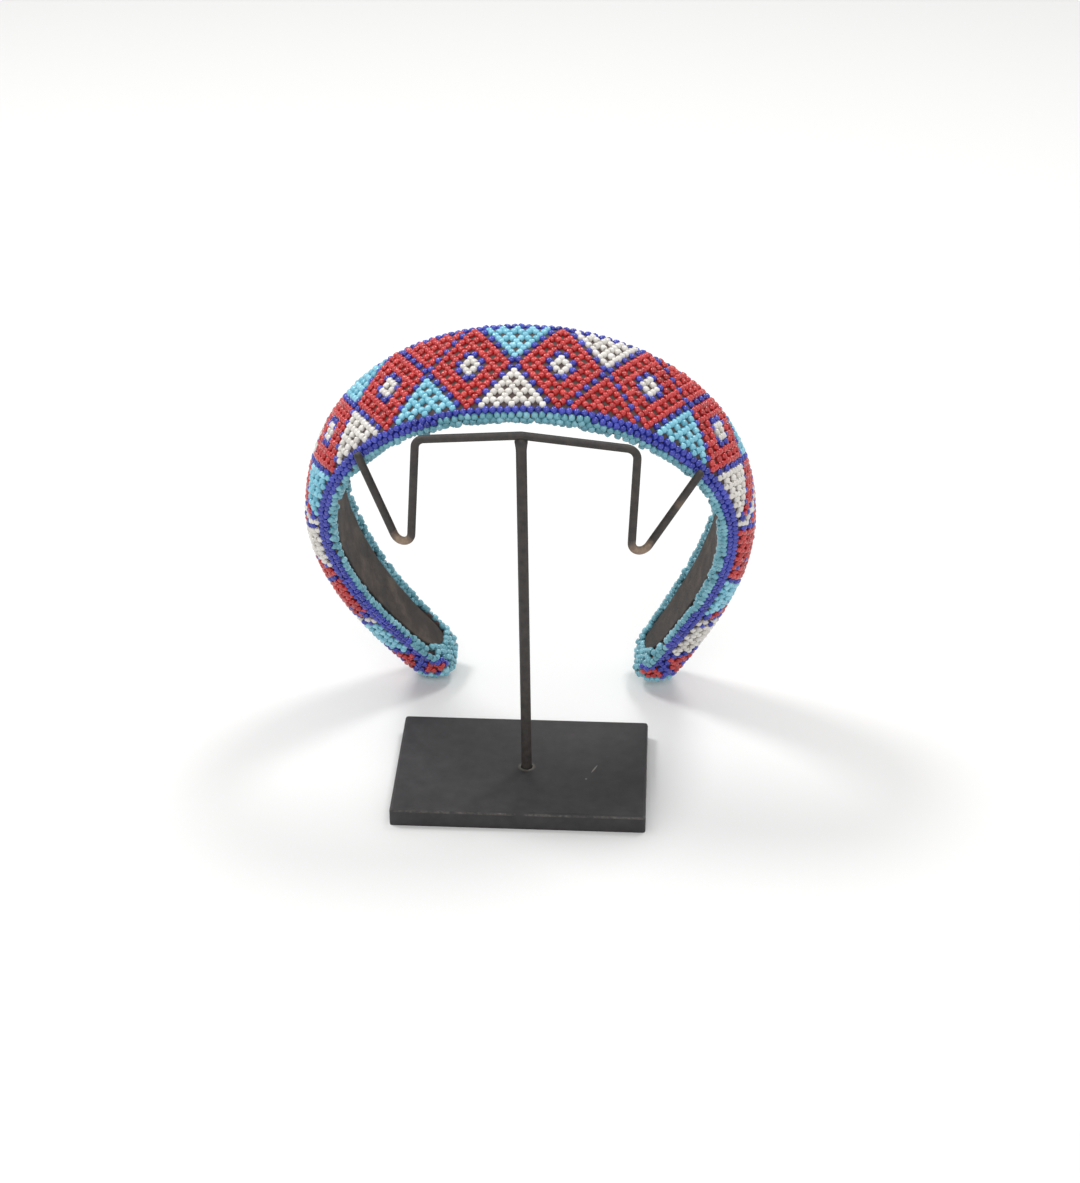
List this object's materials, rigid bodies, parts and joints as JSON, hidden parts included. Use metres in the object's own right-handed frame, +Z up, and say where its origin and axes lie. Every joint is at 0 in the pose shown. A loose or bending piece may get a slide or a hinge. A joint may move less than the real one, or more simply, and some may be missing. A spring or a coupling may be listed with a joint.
{
  "type": "beaded headband on a wire display stand",
  "caption": "Padded hair band netted over in glass seed beads, diamonds and triangles in red, white, turquoise and blue, leaning on a bent wire stand with a flat plate.",
  "frame": {"origin": "centre of the stand plate's underside, on the surface that the plate and both ends of the headband stand on", "axes": "+X along the plate's width and across the headband, +Y from the wire towards the headband's feet, +Z up along the post"},
  "size_m": [0.1523, 0.1034, 0.1512],
  "materials": {
    "net_beads": "opaque glossy glass seed beads, mostly red, with blue, white and turquoise",
    "edging_beads": "opaque glossy turquoise glass seed beads",
    "padding": "matt cloth over wadding",
    "felt_lining": "matt brushed dark brown-grey felt",
    "stand_paint": "matt black paint on steel, worn at the bends"
  },
  "bodies": {
    "root": {"beaded_cover": "net_beads", "beaded_edging": "edging_beads", "padded_core": "padding", "lining": "felt_lining", "stand_plate": "stand_paint", "stand_wire": "stand_paint"}
  },
  "joints": []
}
